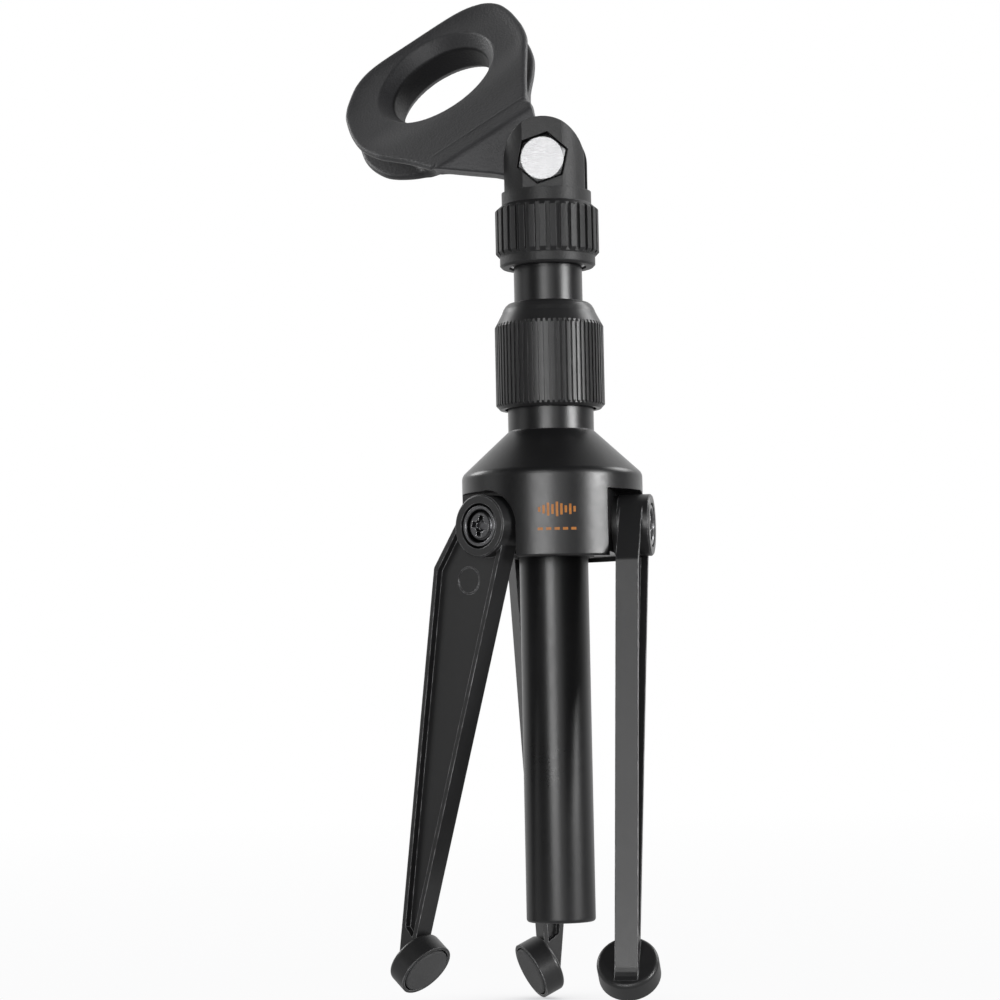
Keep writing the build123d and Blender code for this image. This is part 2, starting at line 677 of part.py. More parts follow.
with BuildPart() as mic_clip:
    # two flanges, joined by a barrel round the bore and a web down to the tongue
    for face, outline, depth in (
        (front, front_outline, -flange_t),
        (rear, rear_outline, flange_t),
    ):
        with BuildSketch(face):
            with BuildLine():
                Spline(*outline)
                Line(outline[-1], outline[0])
            make_face()
        extrude(amount=depth)
    with BuildSketch(front.offset(-flange_t / 2)):
        Circle(barrel_r)
        with BuildLine():
            Polyline(*web_back_outline, close=True)
        make_face()
    extrude(amount=-(clip_depth - flange_t))
    with BuildSketch(front.offset(-flange_t / 2 - 0.1)):
        with BuildLine():
            Polyline(*web_outline, close=True)
        make_face()
    extrude(amount=-(web_depth - flange_t / 2))
    # trim the ring just above the root line of the tongue
    with BuildSketch(Plane.XZ.offset(-60)):
        with BuildLine():
            Polyline(
                (root_x0 - 30, root_z0 + root_cut_lift - 30 * root_slope),
                (root_x1 + 30, root_z1 + root_cut_lift + 30 * root_slope),
                (root_x1 + 60, root_z1 - 60), (root_x0 + 30, root_z0 - 60), close=True,
            )
        make_face()
    extrude(amount=120, mode=Mode.SUBTRACT)
    # tongue that lies between the ears of the fork, rooted in the web
    with BuildSketch(Plane.XZ.offset(-tongue_half)):
        with BuildLine():
            Polyline(
                (root_x0, root_z0), (-12.0, 174.1), (-4.9, 172.5), (0, bolt_z), (4.6, 180.4),
                (-2.0, 186.9), (root_x1, root_z1), (root_x1 - 3.6, root_z1),
                (root_x0 + 1.4, root_z0 + 3.3), close=True,
            )
        make_face()
        with Locations((0, bolt_z)):
            Circle(tongue_end_r)
    extrude(amount=2 * tongue_half)
    # clear whatever stands in front of the front face
    with BuildSketch(front):
        Rectangle(120, 160)
    extrude(amount=30, mode=Mode.SUBTRACT)
    # bolt hole
    with BuildSketch(Plane.XZ.offset(-20)):
        with Locations((0, bolt_z)):
            Circle(tongue_hole_r)
    extrude(amount=40, mode=Mode.SUBTRACT)
    # bore with flared mouths
    with BuildSketch(front.offset(2)):
        Circle(clip_bore_r)
    extrude(amount=-(clip_depth + 4), mode=Mode.SUBTRACT)
    with BuildSketch(
        Plane(origin=clip_centre, x_dir=clip_across, z_dir=clip_across.cross(clip_axis))
    ):
        for mouth in (front_mouth, rear_mouth):
            with BuildLine():
                Polyline(*mouth, close=True)
            make_face()
    revolve(axis=Axis(clip_centre, clip_axis), mode=Mode.SUBTRACT)
save(mic_clip.part, "mic_clip")
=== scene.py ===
"""Tabletop microphone stand: three folding legs, a hub, a sliding tube and a tilted clip.

It stands upright on its legs, with +Z up, the front towards -Y and the right towards +X.
Azimuths are measured from the front, positive to the right.
The CAD pieces get materials, the clip is rebuilt as a moulding and the hub gets a print.
"""
import math

import bmesh
import bpy
import numpy as np
from mathutils import Matrix, Vector


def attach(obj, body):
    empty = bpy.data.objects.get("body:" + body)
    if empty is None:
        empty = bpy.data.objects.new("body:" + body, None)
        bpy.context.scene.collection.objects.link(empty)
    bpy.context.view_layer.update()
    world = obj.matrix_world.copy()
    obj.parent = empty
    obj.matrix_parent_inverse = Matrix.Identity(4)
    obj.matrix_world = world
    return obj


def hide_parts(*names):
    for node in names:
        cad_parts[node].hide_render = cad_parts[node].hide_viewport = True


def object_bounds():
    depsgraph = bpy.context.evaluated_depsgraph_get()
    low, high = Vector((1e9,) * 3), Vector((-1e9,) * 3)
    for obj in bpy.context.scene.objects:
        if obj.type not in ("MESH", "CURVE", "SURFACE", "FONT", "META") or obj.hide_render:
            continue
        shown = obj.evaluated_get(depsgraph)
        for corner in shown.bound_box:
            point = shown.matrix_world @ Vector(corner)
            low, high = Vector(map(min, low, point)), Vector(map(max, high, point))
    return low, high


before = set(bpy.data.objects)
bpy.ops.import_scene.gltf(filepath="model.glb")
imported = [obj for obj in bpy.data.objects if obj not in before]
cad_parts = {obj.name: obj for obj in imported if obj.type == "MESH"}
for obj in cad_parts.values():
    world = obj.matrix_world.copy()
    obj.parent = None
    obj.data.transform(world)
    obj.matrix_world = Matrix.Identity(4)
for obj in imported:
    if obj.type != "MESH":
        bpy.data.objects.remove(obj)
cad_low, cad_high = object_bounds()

MM = 0.001
scene = bpy.context.scene

# Microphone clip, in mm. Its ring lies in a tilted plane square to CLIP_NORMAL, which
# points out of the face: forward, up and to the left.
CLIP_CENTRE = np.array((-28.75, 21.7, 203.45))
CLIP_NORMAL = np.array((-0.368, -0.7071, 0.604))
CLIP_NORMAL /= np.linalg.norm(CLIP_NORMAL)
CLIP_RIGHT = np.cross(CLIP_NORMAL, (0, -1, 0))
CLIP_RIGHT /= np.linalg.norm(CLIP_RIGHT)
CLIP_UP = np.cross(CLIP_NORMAL, CLIP_RIGHT)
CLIP_DEPTH = 11.2
BORE_RADIUS = 13.0
BOLT_Z = 176.3  # the bolt runs along Y through x = 0

# Camera azimuth in degrees; the lights and surroundings are set out from it
CAMERA_AZIMUTH = 4.986
AWAY = (-math.sin(math.radians(CAMERA_AZIMUTH)), math.cos(math.radians(CAMERA_AZIMUTH)), 0.0)


# ------------------------------------------------------------------ shader helpers
class Graph:
    """Adds nodes to a shader tree. Inputs take a socket, a number or an RGB colour."""

    def __init__(self, tree):
        self.tree = tree
        self.coord = self.node("ShaderNodeTexCoord")

    def feed(self, socket, value):
        if isinstance(value, bpy.types.NodeSocket):
            self.tree.links.new(value, socket)
        elif isinstance(value, tuple) and socket.type == "RGBA":
            socket.default_value = (*value, 1)
        else:
            socket.default_value = value

    def node(self, kind, inputs=None, **settings):
        made = self.tree.nodes.new(kind)
        for key, value in settings.items():
            setattr(made, key, value)
        for key, value in (inputs or {}).items():
            self.feed(made.inputs[key], value)
        return made

    def object_coord(self):
        return self.coord.outputs["Object"]

    def scaled(self, *scale):
        inputs = {"Scale": scale, "Vector": self.object_coord()}
        return self.node("ShaderNodeMapping", inputs).outputs["Vector"]

    def noise(self, scale, detail=3.0, rough=0.5, vector=None):
        inputs = {"Scale": scale, "Detail": detail, "Roughness": rough,
                  "Vector": vector or self.object_coord()}
        return self.node("ShaderNodeTexNoise", inputs).outputs["Fac"]

    def voronoi(self, scale):
        inputs = {"Scale": scale, "Vector": self.object_coord()}
        return self.node("ShaderNodeTexVoronoi", inputs).outputs["Distance"]

    def ramp(self, factor, stops):
        made = self.node("ShaderNodeValToRGB", {"Fac": factor})
        elements = made.color_ramp.elements
        while len(elements) < len(stops):
            elements.new(0.5)
        for element, (position, colour) in zip(elements, stops):
            element.position = position
            element.color = (*colour, 1)
        return made.outputs["Color"]

    def math(self, operation, first, second):
        return self.node("ShaderNodeMath", {0: first, 1: second}, operation=operation).outputs[0]

    def vector_math(self, operation, first, second=None):
        made = self.node("ShaderNodeVectorMath", {0: first}, operation=operation)
        if second is not None:
            self.feed(made.inputs[1], second)
        scalar = operation in ("DOT_PRODUCT", "LENGTH")
        return made.outputs["Value" if scalar else "Vector"]

    def mix(self, factor, first, second):
        inputs = {0: factor, 6: first, 7: second}
        return self.node("ShaderNodeMix", inputs, data_type="RGBA").outputs[2]

    def remap(self, value, from_range, to_range, **settings):
        inputs = dict(enumerate((value, *from_range, *to_range)))
        return self.node("ShaderNodeMapRange", inputs, **settings).outputs[0]

    def bump(self, height, distance, strength, normal=None):
        inputs = {"Strength": strength, "Distance": distance, "Height": height}
        if normal is not None:
            inputs["Normal"] = normal
        return self.node("ShaderNodeBump", inputs).outputs["Normal"]

    def bevel(self, radius, samples=4):
        made = self.node("ShaderNodeBevel", {"Radius": radius}, samples=samples)
        return made.outputs["Normal"]

    def edge(self, radius):
        """0 on flats, towards 1 within radius of a sharp edge."""
        rounded = self.bevel(radius, samples=6)
        flat = self.node("ShaderNodeNewGeometry").outputs["Normal"]
        return self.remap(self.vector_math("DOT_PRODUCT", rounded, flat), (0.995, 0.85), (0, 1))

    def mix_shaders(self, factor, first, second):
        inputs = {0: factor, 1: first.outputs[0], 2: second.outputs[0]}
        return self.node("ShaderNodeMixShader", inputs).outputs[0]

    def camera_ray(self):
        return self.node("ShaderNodeLightPath").outputs["Is Camera Ray"]


class Material(Graph):
    """A new material with one Principled shader."""

    def __init__(self, name):
        self.material = bpy.data.materials.new(name)
        self.material.use_nodes = True
        super().__init__(self.material.node_tree)
        self.principled = self.tree.nodes["Principled BSDF"]

    def set(self, name, value):
        self.feed(self.principled.inputs[name], value)


def tint(colour, factor):
    return tuple(channel * factor for channel in colour)


# ------------------------------------------------------------------ materials
# Lengths inside materials are in metres.
def satin_paint(name, base, rough, grain_scale, grain, edge_radius, highlight_and_wear,
                highlight_and_wear_colour=(0.16, 0.16, 0.165), streak=0.0):
    """Black painted metal: fine orange peel, uneven roughness, lighter edges that are partly worn
    paint and partly a painted highlight.
    """
    paint = Material(name)
    patches = paint.noise(38.0, detail=4.0, rough=0.55)
    dust = paint.noise(900.0, rough=0.6)
    colour = paint.mix(paint.remap(patches, (0.3, 0.7), (0, 1)), tint(base, 0.82), tint(base, 1.25))
    specks = paint.remap(paint.noise(2600.0, detail=2.0, rough=0.6), (0.68, 0.8), (0, 0.35))
    colour = paint.mix(specks, colour, tint(base, 2.2))

    # lighter edges, broken up by noise: partly worn paint, partly a painted highlight along the
    # edges
    edge = paint.edge(edge_radius)
    gaps = paint.remap(paint.noise(320.0, detail=5.0, rough=0.65), (0.42, 0.66), (0.15, 1))
    broken_highlight_and_wear = paint.math("MULTIPLY", edge, gaps)
    paint.set("Base Color", paint.mix(paint.math("MULTIPLY", broken_highlight_and_wear, highlight_and_wear), colour, highlight_and_wear_colour))

    roughness = paint.math(
        "ADD",
        paint.remap(patches, (0.25, 0.75), (rough - 0.035, rough + 0.035)),
        paint.remap(dust, (0.3, 0.7), (-0.02, 0.03)))
    if streak:
        upright = paint.noise(60.0, detail=4.0, rough=0.6, vector=paint.scaled(1, 1, 0.05))
        roughness = paint.math("ADD", roughness, paint.math("MULTIPLY", upright, streak))
    paint.set("Roughness", roughness)
    paint.set("Specular IOR Level", 0.5)

    normal = paint.bevel(edge_radius)
    peel = paint.noise(grain_scale, rough=0.55)
    normal = paint.bump(peel, distance=grain, strength=0.5, normal=normal)
    fine_peel = paint.noise(grain_scale * 5.0, detail=2.0)
    normal = paint.bump(fine_peel, distance=grain * 0.25, strength=0.4, normal=normal)
    paint.set("Normal", normal)
    return paint.material


def bore_mask(graph, centre, axis, radius, depth):
    """1 inside a bore, deeper than depth below centre along axis; it places the painted shade on
    the bore wall.
    """
    offset = graph.vector_math("SUBTRACT", graph.object_coord(), centre)
    along = graph.vector_math("DOT_PRODUCT", offset, axis)
    across = graph.vector_math("LENGTH", graph.vector_math("CROSS_PRODUCT", offset, axis))
    inside = graph.remap(across, (radius + 0.00055, radius + 0.0002), (0, 1))
    deep = graph.remap(along, (-depth, -depth - 0.0005), (0, 1))
    return graph.math("MULTIPLY", inside, deep)


def moulded(name, base, rough, grain_scale, grain, specular=0.4, edge_radius=0.0003,
            sheen=0.0, pale=0.18, mottled=0.25, bore=None):
    """Moulded plastic or rubber with a spark-eroded grain and pale rubbed edges, and painted shade
    in a bore when one is given.
    """
    plastic = Material(name)
    patches = plastic.noise(45.0, detail=4.0, rough=0.6)
    cells = plastic.voronoi(grain_scale)
    fine = plastic.noise(grain_scale * 1.4, rough=0.6)
    colour = plastic.mix(plastic.remap(patches, (0.3, 0.7), (0, 1)),
                         tint(base, 1 - mottled), tint(base, 1 + mottled))
    colour = plastic.mix(plastic.remap(fine, (0.35, 0.7), (0, 0.35)), colour, tint(base, 1.7))
    rubbed = plastic.math("MULTIPLY", plastic.edge(edge_radius * 1.3), pale)
    colour = plastic.mix(rubbed, colour, (0.13, 0.13, 0.135))
    if bore:
        # painted shade: the wall of the bore is painted darker and less shiny
        bore_shade_mask = bore_mask(plastic, **bore)
        colour = plastic.mix(bore_shade_mask, colour, tint(base, 0.45))
        specular = plastic.remap(bore_shade_mask, (0, 1), (specular, 0.16))
    plastic.set("Base Color", colour)
    plastic.set("Roughness", plastic.remap(fine, (0.25, 0.75), (rough - 0.05, rough + 0.06)))
    plastic.set("Specular IOR Level", specular)
    if sheen:
        plastic.set("Sheen Weight", sheen)
        plastic.set("Sheen Roughness", 0.5)
    normal = plastic.bevel(edge_radius)
    pits = plastic.remap(cells, (0, 0.7), (0, 1))
    normal = plastic.bump(pits, distance=grain, strength=0.55, normal=normal)
    normal = plastic.bump(fine, distance=grain * 0.8, strength=0.6, normal=normal)
    plastic.set("Normal", normal)
    return plastic.material


def metal(name, base, rough, scratch=0.06, anisotropy=0.0, edge_radius=0.0002, highlight_and_wear_colour=None,
          highlight_and_wear=0.0):
    """Plated or turned steel: fine directional scratches, faint tarnish."""
    steel = Material(name)
    tarnish = steel.noise(90.0, detail=5.0, rough=0.6)
    colour = steel.mix(steel.remap(tarnish, (0.3, 0.72), (0, 1)), base, tint(base, 0.80))
    # edges take a set colour: a painted highlight on the screw and the bush, darker edges on the
    # nickel
    if highlight_and_wear:
        colour = steel.mix(steel.math("MULTIPLY", steel.edge(edge_radius), highlight_and_wear), colour, highlight_and_wear_colour)
    steel.set("Base Color", colour)
    steel.set("Metallic", 1.0)
    lines = steel.noise(700.0, detail=4.0, rough=0.6, vector=steel.scaled(1.0, 1.0, 9.0))
    steel.set("Roughness", steel.math(
        "ADD",
        steel.remap(lines, (0.3, 0.7), (rough - 0.02, rough + scratch)),
        steel.remap(tarnish, (0.3, 0.7), (0, 0.05))))
    if anisotropy:
        steel.set("Anisotropic", anisotropy)
    normal = steel.bevel(edge_radius)
    steel.set("Normal", steel.bump(lines, distance=0.000004, strength=0.35, normal=normal))
    return steel.material


DEEP_BLACK = (0.0085, 0.0085, 0.009)
# where the wall of the clip's bore gets painted shade
CLIP_BORE_SHADE = {
    "centre": tuple(CLIP_CENTRE * MM),
    "axis": (-0.3679, -0.7069, 0.6039),
    "radius": BORE_RADIUS * MM,
    "depth": 0.0031,
}

# the lighter edge colour of these paints is partly worn paint and partly a painted highlight,
# strongest on the hub and legs
hub_paint = satin_paint(
    "satin_black_cast", base=DEEP_BLACK, rough=0.31, grain_scale=1500.0, grain=0.000012,
    edge_radius=0.0003, highlight_and_wear=0.35, highlight_and_wear_colour=(0.26, 0.26, 0.27))
tube_paint = satin_paint(
    "satin_black_tube", base=DEEP_BLACK, rough=0.28, grain_scale=1100.0, grain=0.000010,
    edge_radius=0.0003, highlight_and_wear=0.25, streak=0.05)
# the leg's pale edge colour is mostly a painted highlight along the flange edges
leg_paint = satin_paint(
    "satin_black_leg", base=(0.013, 0.013, 0.0135), rough=0.36, grain_scale=1300.0,
    grain=0.000014, edge_radius=0.0003, highlight_and_wear=1.0, highlight_and_wear_colour=(0.42, 0.42, 0.43))
knob_paint = satin_paint(
    "satin_black_knob", base=(0.012, 0.012, 0.0125), rough=0.36, grain_scale=1500.0,
    grain=0.000012, edge_radius=0.00012, highlight_and_wear=0.5, highlight_and_wear_colour=(0.13, 0.13, 0.135))
black_nylon = moulded(
    "black_nylon", base=(0.013, 0.013, 0.0135), rough=0.46, grain_scale=1800.0, grain=0.00004)
clip_rubber = moulded(
    "clip_rubber", base=(0.030, 0.030, 0.032), rough=0.50, grain_scale=1700.0, grain=0.00008,
    specular=0.42, sheen=0.05, mottled=0.16, bore=CLIP_BORE_SHADE)
pad_rubber = moulded(
    "pad_rubber", base=(0.060, 0.060, 0.061), rough=0.72, grain_scale=2400.0, grain=0.00003,
    specular=0.3, edge_radius=0.00025, mottled=0.18)
# its pale edge colour is a painted highlight on the head and cross recess
screw_metal = metal(
    "black_oxide_screw", base=(0.11, 0.11, 0.115), rough=0.20, scratch=0.10,
    highlight_and_wear_colour=(0.85, 0.85, 0.86), highlight_and_wear=0.9)
# its pale edge colour is a painted highlight on the rim
bush_metal = metal(
    "black_plated_bush", base=(0.13, 0.13, 0.135), rough=0.24, scratch=0.10,
    highlight_and_wear_colour=(0.75, 0.75, 0.76), highlight_and_wear=0.75)
bright_nickel = metal(
    "bright_nickel", base=(0.36, 0.36, 0.365), rough=0.20, edge_radius=0.00025,
    highlight_and_wear_colour=(0.10, 0.10, 0.10), highlight_and_wear=0.5)
turned_steel = metal(
    "turned_steel", base=(0.56, 0.56, 0.57), rough=0.24, scratch=0.1, anisotropy=0.3)
natural_nylon = moulded(
    "natural_nylon", base=(0.62, 0.61, 0.57), rough=0.45, grain_scale=1800.0, grain=0.00002,
    pale=0.0, mottled=0.05)

piece_materials = {
    "hub_body": hub_paint, "tube_guide_bush": black_nylon, "leg_friction_washers": black_nylon,
    "leg_pivot_bushes": bush_metal, "leg_pivot_screws": screw_metal,
    "clamp_collet": natural_nylon, "clamp_cone_ring": turned_steel, "clamp_knob": knob_paint,
    "sliding_tube": tube_paint, "tube_end_plug": black_nylon, "clip_fork": black_nylon,
    "thread_insert": bright_nickel, "clip_bolt": bright_nickel, "clip_washer": bright_nickel,
    "clip_nut": bright_nickel, "mic_clip": clip_rubber,
}
for side in ("left", "right", "rear"):
    piece_materials["leg_" + side] = leg_paint
    piece_materials["foot_pad_" + side] = pad_rubber
for name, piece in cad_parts.items():
    piece.data.materials.clear()
    piece.data.materials.append(piece_materials[name])


# ------------------------------------------------------------------ distance fields, in mm
def smooth_min(first, second, blend):
    """Union of two fields, with a fillet about blend wide."""
    share = np.clip(0.5 + 0.5 * (second - first) / blend, 0.0, 1.0)
    return second * (1 - share) + first * share - blend * share * (1 - share)


def smooth_max(first, second, blend):
    return -smooth_min(-first, -second, blend)


def spline(points, steps=10):
    """Catmull-Rom through the points, open at its ends."""
    knots = np.array(points, float)
    knots = np.vstack([2 * knots[0] - knots[1], knots, 2 * knots[-1] - knots[-2]])
    curve = []
    for i in range(1, len(knots) - 2):
        before, start, end, after = knots[i - 1:i + 3]
        for t in np.arange(steps) / steps:
            curve.append(0.5 * ((2 * start) + (end - before) * t
                                + (2 * before - 5 * start + 4 * end - after) * t * t
                                + (3 * start - before - 3 * end + after) * t ** 3))
    curve.append(knots[-2])
    return np.array(curve)


class Outline:
    """Signed distance to a closed outline, negative inside, read from a fine grid."""

    MARGIN = 14.0
    CELL = 0.2

    def __init__(self, points):
        points = np.array(points, float)
        self.low = points.min(0) - self.MARGIN
        high = points.max(0) + self.MARGIN
        self.count = np.ceil((high - self.low) / self.CELL).astype(int) + 1
        x, y = np.meshgrid(*(self.low[i] + self.CELL * np.arange(self.count[i])
                             for i in range(2)), indexing="ij")
        nearest = np.full(x.shape, 1e9)
        inside = np.zeros(x.shape, bool)
        for start, end in zip(points, np.roll(points, -1, axis=0)):
            side = end - start
            from_x, from_y = x - start[0], y - start[1]
            t = np.clip((from_x * side[0] + from_y * side[1]) / max(side @ side, 1e-12), 0, 1)
            nearest = np.minimum(nearest, (from_x - t * side[0]) ** 2 + (from_y - t * side[1]) ** 2)
            if abs(side[1]) > 1e-12:
                spans = (start[1] > y) != (end[1] > y)
                inside ^= spans & (x < start[0] + (y - start[1]) * side[0] / side[1])
        self.grid = np.where(inside, -1, 1) * np.sqrt(nearest)

    def __call__(self, x, y):
        x = np.clip((x - self.low[0]) / self.CELL, 0, self.count[0] - 1.001)
        y = np.clip((y - self.low[1]) / self.CELL, 0, self.count[1] - 1.001)
        i, j = x.astype(int), y.astype(int)
        x, y = x - i, y - j
        grid = self.grid
        return (grid[i, j] * (1 - x) * (1 - y) + grid[i + 1, j] * x * (1 - y)
                + grid[i, j + 1] * (1 - x) * y + grid[i + 1, j + 1] * x * y)


def slab(outline, across, low, high, rounding):
    """An outline's distance swept from across = low to high, with rounded edges."""
    beyond = np.abs(across - (low + high) / 2) - (high - low) / 2 + rounding
    out = outline + rounding
    return (np.sqrt(np.maximum(out, 0) ** 2 + np.maximum(beyond, 0) ** 2)
            + np.minimum(np.maximum(out, beyond), 0) - rounding)


# ------------------------------------------------------------------ meshing a field
CORNERS = [(i, j, k) for i in (0, 1) for j in (0, 1) for k in (0, 1)]


def sample(field, low, count, cell):
    """Field values on a grid, worked out in slices to save memory."""
    xs, ys, zs = (low[i] + cell * np.arange(count[i]) for i in range(3))
    values = np.empty(tuple(count), np.float32)
    for i in range(0, count[0], 16):
        values[i:i + 16] = field(*np.meshgrid(xs[i:i + 16], ys, zs, indexing="ij"))
    return values


def crossed_cells(inside):
    """Grid cells that the surface passes through."""
    shape = tuple(size - 1 for size in inside.shape)
    corners_inside = np.zeros(shape, np.int8)
    for corner in CORNERS:
        corners_inside += inside[tuple(slice(o, o + size) for o, size in zip(corner, shape))]
    return np.argwhere((corners_inside > 0) & (corners_inside < 8))


def net_points(values, cells):
    """One point per cell, in cell units: the mean of the crossings on its edges."""
    total = np.zeros((len(cells), 3))
    crossings = np.zeros(len(cells))
    for corner in CORNERS:
        for axis in range(3):
            if corner[axis]:
                continue
            far_corner = list(corner)
            far_corner[axis] = 1
            start = values[tuple((cells + corner).T)].astype(float)
            end = values[tuple((cells + far_corner).T)].astype(float)
            crosses = (start < 0) != (end < 0)
            point = np.tile(np.array(corner, float), (len(cells), 1))
            point[:, axis] += np.where(crosses, start / np.where(crosses, start - end, 1), 0)
            total += point * crosses[:, None]
            crossings += crosses
    return cells + total / crossings[:, None]


def net_quads(inside, cells):
    """One quad round each grid edge that crosses the surface."""
    count = inside.shape
    index = np.full(tuple(size - 1 for size in count), -1, np.int64)
    index[tuple(cells.T)] = np.arange(len(cells))
    quads = []
    for axis in range(3):
        starts = [slice(1, size - 1) for size in count]
        starts[axis] = slice(0, count[axis] - 1)
        ends = list(starts)
        ends[axis] = slice(1, count[axis])
        start_inside = inside[tuple(starts)]
        edges = np.argwhere(start_inside != inside[tuple(ends)])
        outward = start_inside[tuple(edges.T)]
        if axis == 1:
            outward = ~outward
        base = edges + 1
        base[:, axis] -= 1
        first, second = [other for other in range(3) if other != axis]
        ring = []
        for first_step, second_step in ((0, 0), (1, 0), (1, 1), (0, 1)):
            around = base.copy()
            around[:, first] -= first_step
            around[:, second] -= second_step
            ring.append(index[tuple(around.T)])
        ring = np.array(ring).T
        ring[~outward] = ring[~outward][:, ::-1]
        quads.append(ring)
    return np.vstack(quads)


def pull_to_surface(field, points, cell, passes=3, reach=0.05):
    """Newton steps on to field = 0; reach is the half span of the slope estimate."""
    for _ in range(passes):
        value = field(*points.T)
        slope = np.stack([field(*(points + unit * reach).T) - field(*(points - unit * reach).T)
                          for unit in np.eye(3)], 1) / (2 * reach)
        steepness = np.maximum((slope * slope).sum(1), 0.05)
        points = points - (np.clip(value, -0.5 * cell, 0.5 * cell)[:, None] * slope
                           / steepness[:, None])
    return points


def surface(field, low, high, cell):
    """Surface nets of field = 0 inside a box. Returns points (mm) and quads."""
    low, high = np.array(low, float), np.array(high, float)
    count = np.ceil((high - low) / cell).astype(int) + 1
    values = sample(field, low, count, cell)
    inside = values < 0
    cells = crossed_cells(inside)
    points = low + cell * net_points(values, cells)
    return pull_to_surface(field, points, cell), net_quads(inside, cells)


def add_object(name, data):
    made = bpy.data.objects.new(name, data)
    scene.collection.objects.link(made)
    return made


def mesh_object(name, points, quads, material):
    """A smooth-shaded object from points in mm, its faces turned outwards."""
    mesh = bpy.data.meshes.new(name)
    mesh.from_pydata((points * MM).tolist(), [], quads.tolist())
    mesh.validate()
    bm = bmesh.new()
    bm.from_mesh(mesh)
    if bm.calc_volume(signed=True) < 0:
        bmesh.ops.reverse_faces(bm, faces=bm.faces)
    bm.to_mesh(mesh)
    bm.free()
    mesh.polygons.foreach_set("use_smooth", [True] * len(mesh.polygons))
    mesh.materials.append(material)
    mesh.update()
    return add_object(name, mesh)


# ------------------------------------------------------------------ microphone clip
# Outlines of the ring: (right, up) in its plane, from the bore axis
front_outline = Outline(spline([
    (-11.2, -40.0), (-11.8, -36.1), (-14.1, -31.0), (-17.0, -25.3), (-20.6, -19.4),
    (-22.4, -16.1), (-24.6, -9.7), (-25.1, -2.7), (-24.4, 4.5), (-23.4, 8.1), (-21.3, 11.9),
    (-17.3, 16.7), (-11.4, 19.3), (0, 19.6), (12.6, 19.3), (19.1, 16.8), (22.6, 12.5),
    (24.0, 7.0), (24.4, 0.7), (24.3, -3.4), (23.7, -7.5), (22.6, -10.7), (21.1, -14.5),
    (18.0, -22.6), (16.0, -28.2), (13.0, -36.1), (12.4, -40.0)]))
rear_outline = Outline(spline([
    (-8.0, -24.6), (-11.6, -22.1), (-16.3, -19.1), (-20.0, -15.5), (-22.8, -11.7),
    (-24.4, -7.7), (-25.4, -3.3), (-25.6, 1.4), (-24.6, 8.1), (-21.8, 13.2), (-17.3, 17.1),
    (-11.4, 19.3), (0, 19.6), (11.0, 19.3), (17.0, 17.0), (21.2, 12.9), (23.2, 8.4),
    (23.6, 4.4), (23.1, -0.5), (22.2, -4.2), (20.4, -8.5), (18.3, -12.4), (16.5, -15.7),
    (13.0, -21.0), (8.0, -24.6)]))
web_outline = Outline([
    (-14.6, -4.0), (-15.2, -13.0), (-13.8, -20.5), (-10.5, -28.0), (-8.5, -40.0),
    (12.0, -40.0), (13.2, -30.0), (15.6, -23.0), (16.0, -16.0), (14.6, -4.0)])
# Side view of the tongue: (x, z)
tongue_outline = Outline([
    (-26.3, 175.95), (-18.5, 174.9), (-12.0, 174.1), (-4.9, 172.5), (-1.5, 170.6), (0, 176.3),
    (4.6, 180.4), (-2.0, 186.9), (-3.1, 190.9), (-4.6, 192.0), (-7.4, 192.3), (-24.3, 180.4),
    (-25.2, 178.6)])

BARREL_RADIUS = 16.2
BARREL_START = 1.3  # depth at which the barrel and web begin
TONGUE_HALF = 3.65
EYE_RADIUS = 6.2
BOLT_HOLE_RADIUS = 3.05
ROOT_X, ROOT_Z = -25.6, 175.6  # a point on the root line of the tongue
ROOT_RUN, ROOT_RISE = 0.8269, 0.5623  # direction of that line
ROOT_SHIFT = 0.95  # the ring stops this far above the line
DISH_DEPTH = 0.95
DISH_RIM = 0.9  # width of rim left proud of the dish
DISH_FALL = 3.2  # distance over which the dish deepens
SEAM_Y, SEAM_HALF, SEAM_HEIGHT = 0.1, 0.09, 0.07
SEAM_LEFT = -27.0  # x where the parting line ends


def clip_ring(x, z, right, up, depth, radius, front_edge):
    """Two round-rimmed flanges joined by a barrel and a web, cut at the tongue's root."""
    front = slab(front_edge, depth, low=0.0, high=1.95, rounding=0.9)
    rear = slab(rear_outline(right, up), depth, low=CLIP_DEPTH - 1.9, high=CLIP_DEPTH,
                rounding=0.8)
    barrel = slab(radius - BARREL_RADIUS, depth, low=BARREL_START, high=CLIP_DEPTH - 0.9,
                  rounding=0.3)
    # the back of the web slopes from the rear flange down to the tongue
    back = 6.3 + (up + 33.0) * 0.36
    web = slab(web_outline(right, up), depth, low=BARREL_START, high=60.0, rounding=0.3)
    web = smooth_max(web, depth - np.minimum(back, CLIP_DEPTH - 0.4), blend=1.2)
    core = smooth_min(barrel, web, blend=1.0)
    ring = smooth_min(smooth_min(front, core, blend=1.3), rear, blend=1.6)
    below_root = (x - ROOT_X) * ROOT_RISE - (z - ROOT_Z) * ROOT_RUN
    return np.maximum(ring, below_root + ROOT_SHIFT)


def clip_tongue(x, y, z, depth, from_bolt):
    """The tongue between the ears of the fork, with an eye round the bolt."""
    side = smooth_min(tongue_outline(x, z), from_bolt - EYE_RADIUS, blend=0.6)
    tongue = slab(side, y, low=-TONGUE_HALF, high=TONGUE_HALF, rounding=0.45)
    return smooth_max(tongue, -depth, blend=0.8)


def face_dish(front_edge, up):
    """Depth of the dished face, which fades out towards the bottom of the ring."""
    fade = np.clip((up + 21.0) / 14.0, 0, 1)
    fade = fade * fade * (3 - 2 * fade)
    return DISH_DEPTH * (1 - np.exp(-np.maximum(-front_edge - DISH_RIM, 0) / DISH_FALL)) * fade


